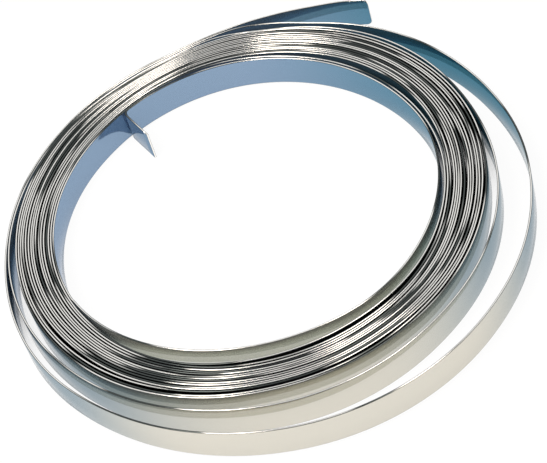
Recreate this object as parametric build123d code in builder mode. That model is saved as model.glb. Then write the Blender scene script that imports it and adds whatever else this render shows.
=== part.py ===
"""A coil of bright stainless steel strip, lying flat. Millimetres, +Z up.

The origin is on the level that the coil lies on, under the middle of its outline. The strip
winds outward clockwise as seen from above. Its middle turns lie tight and are one turned ring
with every turn's edge on both ends. One loose turn stands in the bore and two lie outside.
"""
import os
from math import atan2, cos, pi, radians, sin

from build123d import *

# Strip
strip_width = 12.7
strip_thickness = 0.76

# Tight pack: its bore, its turns, and the rounded crest of each turn's edge
bore_radius = 70.3
pack_turns = 11
turn_pitch = 1.3
crest_height = 0.3

# Loose outer turns: where the strip leaves the pack, how deep its root is sunk in the pack,
# how far it runs, and the air between turns that lie on one another
outer_start_angle = 100.0
outer_root_sink = 1.08
outer_run = 770.0
loose_clearance = 0.12
# Each bulge is (lift at its middle, winding angle of its middle, half of its span)
outer_bulges = [
    (1.8, 15.6, 15.6),
    (3.4, 54.2, 48.0),
    (6.7, 153.4, 110.0),
    (4.6, 247.7, 100.0),
    (2.3, 386.5, 16.0),
    (4.1, 445.0, 70.0),
    (12.3, 522.7, 117.0),
    (2.7, 613.5, 42.0),
    (13.7, 780.0, 45.0),
]

# Loose inner turn: where it leaves the pack, how deep its root is sunk, how far it runs, and
# how much of it the pack has taken in again at its end
inner_start_angle = -165.0
inner_root_sink = 0.15
inner_run = 281.0
inner_end_sink = 0.3
inner_bulges = [
    (5.5, 68.0, 85.0),
    (2.2, 136.0, 41.0),
    (1.7, 194.0, 68.0),
]

# The strip's inner end is bent square into the bore
bend_radius = 2.0
bend_angle = 87.0
tab_length = 14.0

# How far the loose turns' roots reach into the pack, and the winding that one arc covers
root_overlap = 0.25
arc_span = 10.0
COUNTER_CLOCKWISE = 1
CLOCKWISE = -1

pack_radius = bore_radius + pack_turns * turn_pitch


def bulge_lift(winding, bulges):
    """Radial lift, at a winding angle, of a turn off the one that it would lie on."""
    lift = 0.0
    for peak, middle, half_span in bulges:
        offset = abs(winding - middle)
        if offset < half_span:
            lift += peak * cos(pi / 2 * offset / half_span) ** 2
    return lift


def outer_radius_at(winding):
    """Middle of the strip in the loose outer turns, each lifted by those that it lies on."""
    rise = strip_thickness + loose_clearance
    radius = pack_radius - outer_root_sink - strip_thickness / 2 + rise * winding / 360
    while winding > 0:
        radius += bulge_lift(winding, outer_bulges)
        winding -= 360
    return radius


def inner_radius_at(winding):
    """Middle of the strip in the loose inner turn."""
    root = bore_radius + inner_root_sink + strip_thickness / 2
    end = bore_radius + inner_end_sink - strip_thickness / 2
    return root + (end - root) * winding / inner_run - bulge_lift(winding, inner_bulges)


def draw_side(radius_at, start_angle, run, direction, side):
    """Arcs along one face of the strip, side 1 its outward face and -1 its inward one."""
    arcs = round(run / arc_span)
    points = []
    for index in range(2 * arcs + 1):
        winding = run * index / (2 * arcs)
        radius = radius_at(winding)
        slope = atan2(radius_at(winding + 1) - radius, radius * radians(1))
        radius += side * strip_thickness / 2 / cos(slope)
        angle = radians(start_angle + direction * winding)
        points.append(Vector(radius * cos(angle), radius * sin(angle)))
    for index in range(0, 2 * arcs, 2):
        last = ThreePointArc(*points[index : index + 3])
    return points[0], last


def pack_section():
    """Corners of the tight pack's section, a crest at each turn's middle on both ends.

    The first and the last turn are level out to the bore and the rim, where loose turns join.
    """
    low, high = [], []
    for half in range(2 * pack_turns + 1):
        radius = bore_radius + half * turn_pitch / 2
        level = half % 2 == 1 or half in (0, 2 * pack_turns)
        depth = 0 if level else crest_height
        low.append((radius, depth))
        high.append((radius, strip_width - depth))
    return low + high[::-1]


# The loose turns seen from above, drawn about the axis of the bore and rooted in the pack
with BuildSketch() as loose_turns:
    with BuildLine():
        path = (outer_radius_at, outer_start_angle, outer_run, CLOCKWISE)
        outward_start, outward_end = draw_side(*path, 1)
        inward_start, inward_end = draw_side(*path, -1)
        Line(outward_start, inward_start)
        Line(outward_end @ 1, inward_end @ 1)
    make_face()
    Circle(pack_radius - root_overlap, mode=Mode.SUBTRACT)
    with BuildLine():
        path = (inner_radius_at, inner_start_angle, inner_run, COUNTER_CLOCKWISE)
        outward_start, outward_end = draw_side(*path, 1)
        inward_start, inward_end = draw_side(*path, -1)
        Line(outward_start, inward_start)
        heading = inward_end % 1
        outside = JernArc(outward_end @ 1, heading, bend_radius + strip_thickness, bend_angle)
        inside = JernArc(inward_end @ 1, heading, bend_radius, bend_angle)
        tab_outside = Line(outside @ 1, outside @ 1 + tab_length * (inside % 1))
        tab_inside = Line(inside @ 1, inside @ 1 + tab_length * (inside % 1))
        Line(tab_outside @ 1, tab_inside @ 1)
    make_face()

outline_middle = loose_turns.sketch.bounding_box().center()
bore_foot = Vector(-outline_middle.X, -outline_middle.Y, 0)

# Every turn of the coil is the same strip, so the pack and the loose turns are one solid
with BuildPart() as steel_strip:
    with BuildSketch(Plane(bore_foot, x_dir=(1, 0, 0), z_dir=(0, -1, 0))):
        with BuildLine():
            Polyline(*pack_section(), close=True)
        make_face()
    revolve(axis=Axis(bore_foot, (0, 0, 1)))

    with BuildSketch(Plane(bore_foot)):
        add(loose_turns.sketch)
    extrude(amount=strip_width)

steel_strip.part.label = "steel_strip"

os.makedirs("parts", exist_ok=True)
export_step(steel_strip.part, "parts/steel_strip.step")
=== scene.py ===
"""A coil of bright stainless steel strip on a pale floor. Metres, +Z up.

The winding is worked out in millimetres and degrees about the axis of the bore. The strip winds
outward clockwise as seen from above, and a winding angle counts from the start of the inner, the
tight or the outer turns.
"""
from math import cos, pi, radians, sin

import bpy
from mathutils import Matrix, Vector


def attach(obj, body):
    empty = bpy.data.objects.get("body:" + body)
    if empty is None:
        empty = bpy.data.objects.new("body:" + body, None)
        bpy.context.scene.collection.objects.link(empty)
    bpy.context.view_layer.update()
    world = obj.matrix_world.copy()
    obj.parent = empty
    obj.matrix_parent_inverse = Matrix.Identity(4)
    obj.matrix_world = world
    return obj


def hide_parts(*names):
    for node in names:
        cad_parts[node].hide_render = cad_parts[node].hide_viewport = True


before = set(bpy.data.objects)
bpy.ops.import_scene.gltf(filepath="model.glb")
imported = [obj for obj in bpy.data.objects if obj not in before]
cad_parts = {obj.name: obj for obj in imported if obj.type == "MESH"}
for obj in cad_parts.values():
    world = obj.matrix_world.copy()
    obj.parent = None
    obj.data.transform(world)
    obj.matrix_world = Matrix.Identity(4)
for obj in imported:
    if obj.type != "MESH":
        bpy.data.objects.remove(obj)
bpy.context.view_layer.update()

MM = 0.001
BORE = Vector((-3.994, 7.221, 0.0))    # axis of the bore, mm

# Strip, drawn a little thinner than the solid's, so that the gaps between tight turns show
WIDTH = 12.7
THICK = 0.71
EDGE = 0.22                            # rounding of the strip's edges
EDGE_POINTS = 3
CORNER = 2.2                           # rounding of the free end's corners
CORNER_POINTS = 8

# The winding is stepped this finely; one turn is a whole number of steps
PER_TURN = 240
STEP = 360.0 / PER_TURN

# Loose turns, by the same law as the solid part; a bulge is (lift at its middle, winding
# angle of its middle, half of its span). The last four outer ones are small trims of the
# scene's own, and so is the last degree of the outer run
BORE_RADIUS = 70.3
ROOT_RADIUS = 83.3
OUTER_START = 100.0
OUTER_RUN = 771.0
RISE = 0.83
OUTER_BULGES = [
    (1.8, 15.6, 15.6),
    (3.4, 54.2, 48.0),
    (6.7, 153.4, 110.0),
    (4.6, 247.7, 100.0),
    (2.3, 386.5, 16.0),
    (4.1, 445.0, 70.0),
    (12.3, 522.7, 117.0),
    (2.7, 613.5, 42.0),
    (13.7, 780.0, 45.0),

    (0.65, 185.0, 32.0),
    (-0.65, 545.0, 32.0),
    (-0.3, 480.0, 25.0),
    (0.6, 580.0, 24.0),
]
INNER_START = -165.0
INNER_SINK = 0.15
INNER_RUN = 281.0
INNER_END_SINK = 0.3
INNER_BULGES = [
    (5.5, 68.0, 85.0),
    (2.2, 136.0, 41.0),
    (1.7, 194.0, 68.0),
]
INNER_STEPS = int(round(INNER_RUN / STEP))
OUTER_STEPS = int(round(OUTER_RUN / STEP))

# The inner end, bent square into the bore
BEND_MIDDLE = 2.38                     # radius of the bend at the strip's middle
BEND_ANGLE = 87.0
BEND_STEPS = 14
TAB = 14.0
TAB_STEPS = 4

# Tight turns, 15 or 16 of them at any angle: how far the first stands into the bore, how it
# wanders, and where it climbs on its own start
TURNS = 16
FIRST_SINK = 0.2
FIRST_BULGES = [
    (1.25, 103.0, 38.0),
    (-0.5, 165.0, 38.0),
    (0.6, 245.0, 28.0),
    (0.8, 322.0, 34.0),
]
CLIMB_START = 250.0
CLIMB_SPAN = 110.0

# Air between tight turns: its middle and least values, the compass angles at which turns are
# pressed together or slack, with half of their spans, and where a gap opens, as a bulge
AIR = 0.155
LEAST_AIR = 0.012
LEAST_SHARE = 0.15
PRESSED, PRESSED_SPAN = 105.0, 30.0
SLACK, SLACK_SPAN, SLACK_SHARE = -12.0, 60.0, 0.6
GAPS = [
    (2.0, 515.0, 62.0),
    (1.1, 635.0, 60.0),
    (0.3, 450.0, 30.0),
    (0.2, 1890.0, 30.0),
    (0.2, 2250.0, 35.0),
    (0.45, 2570.0, 40.0),
    (0.3, 2880.0, 45.0),
    (0.35, 4115.0, 50.0),
    (0.35, 4170.0, 50.0),
    (0.8, 4669.0, 42.0),
    (0.8, 4948.0, 36.0),
    (0.85, 4995.0, 40.0),
    (0.4, 5195.0, 45.0),
]

# Small unevenness from turn to turn, in the air and in the turns' heights: waves of
# (size, rate, phase), a rate of 1 being one radian in WAVE_DEGREES of winding
WAVE_DEGREES = 57.3
WAVES = [
    (0.6, 0.83, 0.4),
    (0.7, 1.71, 2.1),
    (0.55, 2.63, 5.0),
    (0.5, 3.41, 1.2),
    (0.4, 5.2, 3.9),
]
HEIGHT_RATE = 3.7
HEIGHT_SHARE = 0.025

# Stations after the first tight one at which each wall lies against another turn, and the
# number of them over which its looks change, its painted shade among them
OUTWARD_PRESSED = 20
INWARD_PRESSED = 460
PRESSED_FADE = 20


def lift(winding, bulges):
    """Sum of the bulges at a winding angle."""
    total = 0.0
    for peak, middle, half_span in bulges:
        offset = abs(winding - middle)
        if offset < half_span:
            total += peak * cos(pi / 2 * offset / half_span) ** 2
    return total


def outer_radius(winding):
    """Middle of the strip in the outer loose turns, each lifted by those that it lies on."""
    radius = ROOT_RADIUS + RISE * winding / 360
    while winding > 0:
        radius += lift(winding, OUTER_BULGES)
        winding -= 360
    return radius


def inner_radius(winding):
    """Middle of the strip in the inner loose turn."""
    root = BORE_RADIUS + INNER_SINK + THICK / 2
    end = BORE_RADIUS + INNER_END_SINK - THICK / 2
    return root + (end - root) * winding / INNER_RUN - lift(winding, INNER_BULGES)


def near(winding, angle, peak, half_span):
    """Bulge about a compass angle, at a winding of the tight turns."""
    offset = (INNER_START - winding - angle + 180) % 360 - 180
    return lift(offset, [(peak, 0.0, half_span)])


def air(winding):
    """Air between a tight turn and the one that it lies on."""
    value = 1.0
    for size, rate, phase in WAVES:
        value += size * sin(rate * winding / WAVE_DEGREES + phase)
    loose = 1 - near(winding, PRESSED, 1.0, PRESSED_SPAN)
    loose += near(winding, SLACK, SLACK_SHARE, SLACK_SPAN)
    return LEAST_AIR + AIR * max(LEAST_SHARE, value) * loose + lift(winding, GAPS)


def tight_radii():
    """Middle of the strip at each step of the tight turns, from the inner one outward."""
    count = int(round((INNER_START - OUTER_START + 360.0 * TURNS) / STEP))
    root = BORE_RADIUS - FIRST_SINK + THICK / 2
    full_climb = THICK + air(360.0)
    radii = []
    for i in range(count + 1):
        if i < PER_TURN:
            climb = min(max((i * STEP - CLIMB_START) / CLIMB_SPAN, 0.0), 1.0)
            climb = climb * climb * (3 - 2 * climb)
            radii.append(root + full_climb * climb + lift(i * STEP, FIRST_BULGES))
        else:
            radii.append(radii[i - PER_TURN] + THICK + air(i * STEP))
    # take up what is left to the loose turn's root evenly
    left = ROOT_RADIUS - radii[-1]
    return [r + left * i / count for i, r in enumerate(radii)]


def path_points():
    """(angle, radius) of the strip's middle, from its inner end outward."""
    points = []
    for i in range(INNER_STEPS, 0, -1):
        winding = INNER_RUN * i / INNER_STEPS
        points.append((INNER_START + winding, inner_radius(winding)))
    for i, radius in enumerate(tight_radii()):
        points.append((INNER_START - i * STEP, radius))
    last_angle = points[-1][0]
    for i in range(1, OUTER_STEPS + 1):
        winding = OUTER_RUN * i / OUTER_STEPS
        points.append((last_angle - winding, outer_radius(winding)))
    return points


def inner_end(first, second):
    """The strip's middle along the tab and round the square bend, up to the first turn."""
    heading = (first - second).normalized()
    left = Vector((-heading.y, heading.x, 0))
    centre = first + left * BEND_MIDDLE
    lead = []
    for k in range(1, BEND_STEPS + 1):
        a = radians(BEND_ANGLE) * k / BEND_STEPS
        lead.append(centre - left * BEND_MIDDLE * cos(a) + heading * BEND_MIDDLE * sin(a))
    straight = heading * cos(radians(BEND_ANGLE)) + left * sin(radians(BEND_ANGLE))
    foot = lead[-1]
    for k in range(1, TAB_STEPS + 1):
        lead.append(foot + straight * TAB * k / TAB_STEPS)
    return lead[::-1]


def strip_line():
    """Stations along the strip's middle, how far each is cut back at both edges, and how many
    of them come before the winding."""
    flat = [Vector((r * cos(radians(a)), r * sin(radians(a)), 0)) for a, r in path_points()]
    lead = inner_end(flat[0], flat[1])
    line = lead + flat
    # the free end's corners are rounded: finer stations there, each cut back further
    tip = line.pop()
    heading = (tip - line[-1]).normalized()
    cuts = [0.0] * len(line)
    for k in range(CORNER_POINTS):
        a = pi / 2 * k / (CORNER_POINTS - 1)
        line.append(tip - heading * CORNER * (1 - sin(a)))
        cuts.append(CORNER * (1 - cos(a)))
    return line, cuts, len(lead)


def section():
    """Corners of the strip's section, (across the thickness, up), rounded at both edges."""
    half = THICK / 2
    ring = []
    corners = [(half, 0, -1, 1), (half, WIDTH, 1, 1), (-half, WIDTH, 1, -1), (-half, 0, -1, -1)]
    for x, y, up, out in corners:
        cx = x - out * EDGE
        cy = y - up * EDGE
        arc = []
        for k in range(EDGE_POINTS):
            a = pi / 2 * k / (EDGE_POINTS - 1)
            arc.append((cx + out * EDGE * cos(a), cy + up * EDGE * sin(a)))
        if up * out > 0:
            ring.extend(arc)
        else:
            ring.extend(arc[::-1])
    return ring


def strip_mesh(line, cuts, lead_count, ring):
    """The section swept along the stations, closed at both ends, each turn at its own height."""
    n = len(ring)
    last = len(line) - 1
    verts = []
    for i, p in enumerate(line):
        along = (line[min(i + 1, last)] - line[max(i - 1, 0)]).normalized()
        outward = Vector((-along.y, along.x, 0))
        turn = (i - lead_count) / PER_TURN
        rise = 0.0
        for size, rate, phase in WAVES:
            rise += size * (1 + sin(HEIGHT_RATE * rate * turn + phase))
        rise *= HEIGHT_SHARE
        base = BORE + p
        shrink = 1 - 2 * cuts[i] / WIDTH
        for x, y in ring:
            q = base + outward * x
            verts.append((q.x * MM, q.y * MM, (cuts[i] + y * shrink + rise) * MM))
    faces = []
    for i in range(last):
        for k in range(n):
            a = i * n + k
            b = i * n + (k + 1) % n
            faces.append((a, a + n, b + n, b))
    faces.append(tuple(range(n)))
    faces.append(tuple(last * n + k for k in reversed(range(n))))
    mesh = bpy.data.meshes.new("strip_ribbon")
    mesh.from_pydata(verts, [], faces)
    return mesh


def build_ribbon():
    """The whole strip as one piece, with what its looks need: the length along it, which side
    of it a point is on, whether another turn lies against it, which is where shade is painted,
    and whether it is the inner end."""
    line, cuts, lead_count = strip_line()
    ring = section()
    n = len(ring)
    mesh = strip_mesh(line, cuts, lead_count, ring)

    reach = [0.0]
    for i in range(1, len(line)):
        reach.append(reach[-1] + (line[i] - line[i - 1]).length)
    uv = mesh.uv_layers.new(name="along")
    for poly in mesh.polygons:
        for loop in poly.loop_indices:
            station, corner = divmod(mesh.loops[loop].vertex_index, n)
            uv.data[loop].uv = (reach[station] * MM, ring[corner][1] * MM)

    tight_start = lead_count + INNER_STEPS
    tight_end = len(line) - CORNER_POINTS - OUTER_STEPS
    side, pressed, inner = [], [], []
    for i in range(len(mesh.vertices)):
        station, corner = divmod(i, n)
        across = ring[corner][0]
        first = tight_start + (OUTWARD_PRESSED if across > 0 else INWARD_PRESSED)
        final = tight_end - (PER_TURN if across > 0 else 0)
        share = min(station - first, final - station) / PRESSED_FADE
        side.append(across / (THICK / 2))
        pressed.append(min(max(share, 0.0), 1.0))
        inner.append(1.0 if station < tight_start else 0.0)
    for name, values in (("side", side), ("pressed", pressed), ("inner", inner)):
        mesh.attributes.new(name, "FLOAT", "POINT").data.foreach_set("value", values)
    mesh.validate()
    mesh.update()

    # the cut edges are level, so they mirror as one plane, and so do the two ends
    cut_edges = (2 * EDGE_POINTS - 1, 4 * EDGE_POINTS - 1)
    ends = len(mesh.polygons) - 2
    for i, poly in enumerate(mesh.polygons):
        poly.use_smooth = i < ends and i % n not in cut_edges
    obj = bpy.data.objects.new("strip_ribbon", mesh)
    bpy.context.scene.collection.objects.link(obj)
    return obj


# Sockets of a mix of two colours
MIX_FIRST, MIX_SECOND = 6, 7
MIX_RESULT = 2

PAINTED_SHADE = (0.02, 0.03, 0.03)              # painted shade on the roundings and on walls that another turn lies against
EDGE_LOW = (0.1, 0.11, 0.105)          # darkest and lightest of the cut edges
EDGE_HIGH = (1.0, 0.97, 0.92)
OPEN_WALL_METALLIC = 0.82


def node_tree(owner):
    owner.use_nodes = True
    return owner.node_tree.nodes, owner.node_tree.links


def steel():
    """Bright strip: walls painted with reflections, warm in front and blue at the back, with
    painted shade where turns lie together and on the cut edges' roundings; cut edges lighter and
    darker by turns, fine rolling lines."""
    mat = bpy.data.materials.new("bright_strip")
    nodes, links = node_tree(mat)
    shader = nodes["Principled BSDF"]

    def share(value, low, high):
        node = nodes.new("ShaderNodeMapRange")
        node.interpolation_type = "SMOOTHSTEP"
        node.inputs["From Min"].default_value = low
        node.inputs["From Max"].default_value = high
        links.new(value, node.inputs["Value"])
        return node.outputs["Result"]

    def spread(value, low, high):
        node = nodes.new("ShaderNodeMapRange")
        node.inputs["To Min"].default_value = low
        node.inputs["To Max"].default_value = high
        links.new(value, node.inputs["Value"])
        return node.outputs["Result"]

    def blend(factor, first, second):
        node = nodes.new("ShaderNodeMix")
        node.data_type = "RGBA"
        ends = [(factor, node.inputs["Factor"])]
        ends += [(first, node.inputs[MIX_FIRST]), (second, node.inputs[MIX_SECOND])]
        for value, socket in ends:
            if isinstance(value, float):
                socket.default_value = value
            elif isinstance(value, tuple):
                socket.default_value = value + (1,)
            else:
                links.new(value, socket)
        return node.outputs[MIX_RESULT]

    def mask(name):
        node = nodes.new("ShaderNodeAttribute")
        node.attribute_name = name
        return node.outputs["Fac"]

    def noise(stretch, detail):
        """Noise over the strip's length and width, stretched (cells per metre)."""
        mapping = nodes.new("ShaderNodeMapping")
        mapping.inputs["Scale"].default_value = stretch
        texture = nodes.new("ShaderNodeTexNoise")
        texture.inputs["Scale"].default_value = 1.0
        texture.inputs["Detail"].default_value = detail
        links.new(uv.outputs["UV"], mapping.inputs["Vector"])
        links.new(mapping.outputs["Vector"], texture.inputs["Vector"])
        return texture.outputs["Fac"]

    side, pressed = mask("side"), mask("pressed")
    uv = nodes.new("ShaderNodeUVMap")
    uv.uv_map = "along"
    spot = nodes.new("ShaderNodeTexCoord")
    axes = nodes.new("ShaderNodeSeparateXYZ")
    links.new(spot.outputs["Object"], axes.inputs["Vector"])
    x, y = axes.outputs["X"], axes.outputs["Y"]

    # painted reflections: the outward face is warm in front and cooler to the back, and the inner
    # loose turn's has its own painted reflection and shade; the inward face is pale in front,
    # blue at the back and a darker teal painted shade at the back right
    outward = blend(share(y, -0.085, -0.045), (0.72, 0.69, 0.61), (0.3, 0.38, 0.43))
    outward = blend(share(y, 0.0, 0.04), outward, (0.5, 0.6, 0.6))
    inmost = blend(share(x, 0.02, 0.06), (0.64, 0.65, 0.6), (0.38, 0.45, 0.43))
    inmost = blend(share(y, -0.04, 0.0), inmost, (0.2, 0.3, 0.42))
    outward = blend(mask("inner"), outward, inmost)
    back = blend(share(x, 0.005, 0.09), (0.245, 0.35, 0.49), (0.05, 0.2, 0.29))
    inward = blend(share(y, -0.05, 0.01), (0.74, 0.745, 0.69), back)
    # walls that another turn lies against get painted shade
    outward = blend(pressed, outward, PAINTED_SHADE)
    inward = blend(pressed, inward, PAINTED_SHADE)

    # each turn's cut edge is given a lighter or darker tone at random, so it differs from the
    # next
    flat = blend(share(noise((14.0, 0.0, 0.0), 2.0), 0.44, 0.5), EDGE_LOW, EDGE_HIGH)
    distance = nodes.new("ShaderNodeMath")
    distance.operation = "ABSOLUTE"
    links.new(side, distance.inputs[0])
    across = distance.outputs["Value"]
    # the roundings of the cut edges get painted shade, dark lines in the valleys between turns
    edge = blend(share(across, 0.7, 0.82), flat, PAINTED_SHADE)
    plain = blend(share(side, 0.93, 0.99), edge, outward)
    colour = blend(share(side, -0.99, -0.93), inward, plain)
    links.new(colour, shader.inputs["Base Color"])
    # a wall seen at a glancing angle keeps its colour
    links.new(blend(0.6, colour, (1.0, 1.0, 1.0)), shader.inputs["Specular Tint"])

    # the open walls are a little dull, the cut edges and the pressed walls aren't
    openly = nodes.new("ShaderNodeMath")
    openly.operation = "SUBTRACT"
    openly.use_clamp = True
    links.new(share(across, 0.93, 0.99), openly.inputs[0])
    links.new(pressed, openly.inputs[1])
    metallic = spread(openly.outputs["Value"], 1.0, OPEN_WALL_METALLIC)
    links.new(metallic, shader.inputs["Metallic"])
    rough = spread(noise((6.0, 2600.0, 1.0), 3.0), 0.05, 0.13)
    links.new(rough, shader.inputs["Roughness"])
    return mat


ribbon = build_ribbon()
ribbon.data.materials.append(steel())
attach(ribbon, "root")
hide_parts("steel_strip")


def pale_floor():
    """White to the camera and to what mirrors it, with the coil's shadow on it."""
    bpy.ops.mesh.primitive_plane_add(size=8, location=(0, 0, 0))
    plane = bpy.context.object
    plane.name = "floor"
    mat = bpy.data.materials.new("floor")
    nodes, links = node_tree(mat)
    matte = nodes["Principled BSDF"]
    matte.inputs["Base Color"].default_value = (0.9, 0.9, 0.9, 1)
    matte.inputs["Roughness"].default_value = 0.9
    glow = nodes.new("ShaderNodeEmission")
    glow.inputs["Color"].default_value = (1, 1, 1, 1)
    glow.inputs["Strength"].default_value = 1.0
    seen = nodes.new("ShaderNodeLightPath")
    either = nodes.new("ShaderNodeMath")
    either.operation = "MAXIMUM"
    links.new(seen.outputs["Is Camera Ray"], either.inputs[0])
    links.new(seen.outputs["Is Glossy Ray"], either.inputs[1])
    # no light reaches the floor between turns that lie close
    closed = nodes.new("ShaderNodeAmbientOcclusion")
    closed.inputs["Distance"].default_value = 0.006
    openness = nodes.new("ShaderNodeMapRange")
    openness.inputs["From Min"].default_value = 0.05
    openness.inputs["From Max"].default_value = 0.25
    openness.inputs["To Max"].default_value = 0.93
    links.new(closed.outputs["AO"], openness.inputs["Value"])
    white = nodes.new("ShaderNodeMath")
    white.operation = "MULTIPLY"
    links.new(either.outputs["Value"], white.inputs[0])
    links.new(openness.outputs["Result"], white.inputs[1])
    mix = nodes.new("ShaderNodeMixShader")
    links.new(white.outputs["Value"], mix.inputs[0])
    links.new(matte.outputs["BSDF"], mix.inputs[1])
    links.new(glow.outputs["Emission"], mix.inputs[2])
    links.new(mix.outputs["Shader"], nodes["Material Output"].inputs["Surface"])
    plane.data.materials.append(mat)
    return plane


def dim_room():
    """A dim room, pale in a ring about halfway up, which the level cut edges mirror."""
    world = bpy.data.worlds.new("studio")
    nodes, links = node_tree(world)
    way = nodes.new("ShaderNodeTexCoord")
    height = nodes.new("ShaderNodeSeparateXYZ")
    links.new(way.outputs["Generated"], height.inputs["Vector"])
    sky = nodes.new("ShaderNodeValToRGB")
    ramp = sky.color_ramp
    ramp.elements[0].position = 0.45
    ramp.elements[1].position = 0.92
    for position in (0.62, 0.82):
        ramp.elements.new(position)
    for element, level in zip(ramp.elements, (0.03, 0.84, 0.84, 0.04)):
        element.color = (level, level, level, 1)
    links.new(height.outputs["Z"], sky.inputs["Fac"])
    nodes["Background"].inputs["Color"].default_value = (0.97, 0.99, 1, 1)
    links.new(sky.outputs["Color"], nodes["Background"].inputs["Strength"])
    return world


def area(name, place, heading, size, power):
    """A box aimed at the coil, its long side towards a compass heading (degrees from +X)."""
    light = bpy.data.lights.new(name, "AREA")
    light.shape = "RECTANGLE"
    light.size, light.size_y = size
    light.energy = power
    light.color = (1.0, 0.94, 0.88)
    obj = bpy.data.objects.new(name, light)
    bpy.context.scene.collection.objects.link(obj)
    back = Vector(place).normalized()
    long_side = Vector((cos(radians(heading)), sin(radians(heading)), 0))
    long_side = (long_side - back * long_side.dot(back)).normalized()
    turned = Matrix((long_side.cross(back), long_side, back)).transposed().to_4x4()
    obj.matrix_world = Matrix.Translation(place) @ turned
    return obj


# The photograph's view of the bore: degrees, mm and pixels
FRAME_WIDTH = 547
ELEVATION = 47.325
ROLL = 18.487
DISTANCE = 778.85
SHIFT_RIGHT = 19.627
SHIFT_UP = -7.962


def photograph_camera():
    elevation, roll = radians(ELEVATION), radians(ROLL)
    forward = Vector((0, cos(elevation), -sin(elevation)))
    right = Vector((1, 0, 0))
    up = Vector((0, sin(elevation), cos(elevation)))
    cam_x = right * cos(roll) - up * sin(roll)
    cam_y = right * sin(roll) + up * cos(roll)
    data = bpy.data.cameras.new("camera")
    data.sensor_fit = "HORIZONTAL"
    data.sensor_width = 36.0
    data.lens = 144.0
    data.shift_x = SHIFT_RIGHT / FRAME_WIDTH
    data.shift_y = SHIFT_UP / FRAME_WIDTH
    data.clip_start = 0.01
    obj = bpy.data.objects.new("camera", data)
    bpy.context.scene.collection.objects.link(obj)
    turned = Matrix((cam_x, cam_y, -forward)).transposed().to_4x4()
    obj.matrix_world = Matrix.Translation((BORE - forward * DISTANCE) * MM) @ turned
    return obj


floor = pale_floor()
bpy.context.scene.world = dim_room()
area("right_box", (0.245, -0.07, 0.955), 288, (0.27, 0.7), 2.5)
area("left_box", (-0.33, -0.03, 0.94), 245, (0.24, 0.6), 3.1)
fill = area("fill", (-0.5, -0.3, 1.2), 0, (1.2, 1.2), 16.0)
fill.visible_glossy = False
bpy.context.scene.camera = photograph_camera()
bpy.context.scene.view_settings.view_transform = "Standard"
